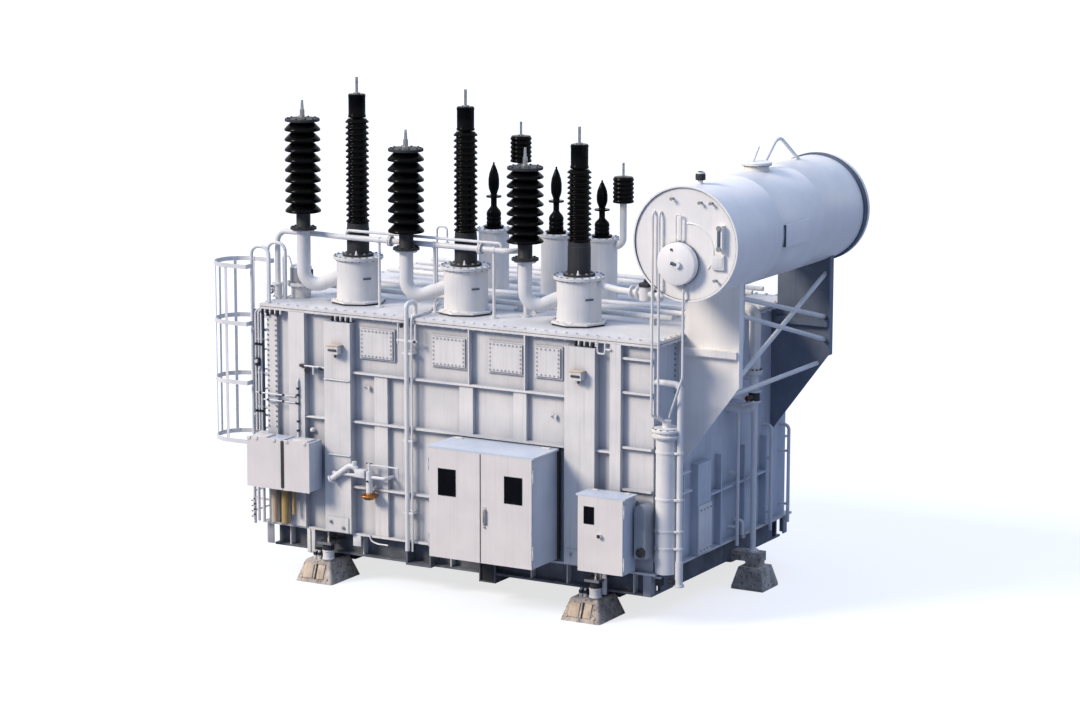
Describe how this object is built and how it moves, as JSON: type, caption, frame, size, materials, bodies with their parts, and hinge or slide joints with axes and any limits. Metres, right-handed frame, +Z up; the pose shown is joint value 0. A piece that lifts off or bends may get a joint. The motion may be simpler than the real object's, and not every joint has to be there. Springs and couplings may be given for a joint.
{
  "type": "oil filled power transformer",
  "caption": "Oil filled power transformer: ribbed tank on jacked feet, tall black bushings on turrets, a round conservator on saddle plates, hinged control cabinets and a caged ladder.",
  "frame": {"origin": "bottom centre of the part's box, on the ground under the feet", "axes": "+X along the long front wall towards the conservator, +Y from the front wall with the cabinets to the rear wall, +Z up"},
  "size_m": [8.212, 5.148, 6.9],
  "materials": {
    "white_paint": "satin weathered off-white paint",
    "grey_paint": "satin grey paint",
    "pad_paint": "dusty beige grey paint",
    "beam_paint": "satin dark grey paint",
    "brown_porcelain": "gloss glaze, nearly black",
    "steel": "machined",
    "window_glass": "dark glazing"
  },
  "bodies": {
    "transformer": {"skid_beams": "white_paint", "cross_beams": "beam_paint", "foot_pads": "pad_paint", "foot_jacks": "steel", "tank_floor": "white_paint", "front_wall": "white_paint", "rear_wall": "white_paint", "right_wall": "white_paint", "left_wall": "white_paint", "front_columns": "white_paint", "rear_columns": "white_paint", "tank_cover": "white_paint", "front_hand_holes": "white_paint", "rear_hand_holes": "white_paint", "hv_turrets": "white_paint", "hv_bushings": "brown_porcelain", "line_bushings": "brown_porcelain", "crank_pipes": "white_paint", "lv_turrets": "white_paint", "lv_bushings": "brown_porcelain", "neutral_bushings": "brown_porcelain", "neutral_pipes": "white_paint", "collecting_pipe": "white_paint", "relief_unit": "grey_paint", "conservator_shell": "white_paint", "conservator_front_end": "white_paint", "conservator_rear_end": "white_paint", "manway_cover": "white_paint", "conservator_top_fittings": "white_paint", "front_saddle_plate": "white_paint", "rear_saddle_plate": "white_paint", "saddle_braces": "white_paint", "drain_pipe": "white_paint", "end_foot": "pad_paint", "control_cabinet": "white_paint", "drive_cabinet": "white_paint", "terminal_boxes": "white_paint", "terminal_box_lids": "white_paint", "filter_column": "white_paint", "front_riser": "white_paint", "ladder": "white_paint", "ladder_rungs": "white_paint", "ladder_cage": "white_paint", "cage_straps": "white_paint", "cover_pipes": "white_paint", "vent_pipes": "white_paint", "oil_main": "white_paint", "filter_pipes": "white_paint", "conservator_end_fittings": "white_paint", "wall_pipes": "white_paint", "drive_motor": "white_paint", "drain_valve": "white_paint"},
    "control_left_door": {"control_left_door": "white_paint", "control_left_glass": "window_glass"},
    "control_right_door": {"control_right_door": "white_paint", "control_right_glass": "window_glass"},
    "drive_cabinet_door": {"drive_cabinet_door": "white_paint", "drive_cabinet_glass": "window_glass"}
  },
  "joints": [
    {"name": "control_left_door_hinge", "type": "hinge", "parent": "transformer", "child": "control_left_door", "pos_m": [-0.092, -2.523, 0.75], "axis": [0, 0, -1], "range_deg": [0, 110]},
    {"name": "control_right_door_hinge", "type": "hinge", "parent": "transformer", "child": "control_right_door", "pos_m": [1.5, -2.523, 0.75], "axis": [0, 0, 1], "range_deg": [0, 110]},
    {"name": "drive_cabinet_door_hinge", "type": "hinge", "parent": "transformer", "child": "drive_cabinet_door", "pos_m": [2.7048, -2.263, 0.76], "axis": [0, 0, 1], "range_deg": [0, 100]}
  ]
}
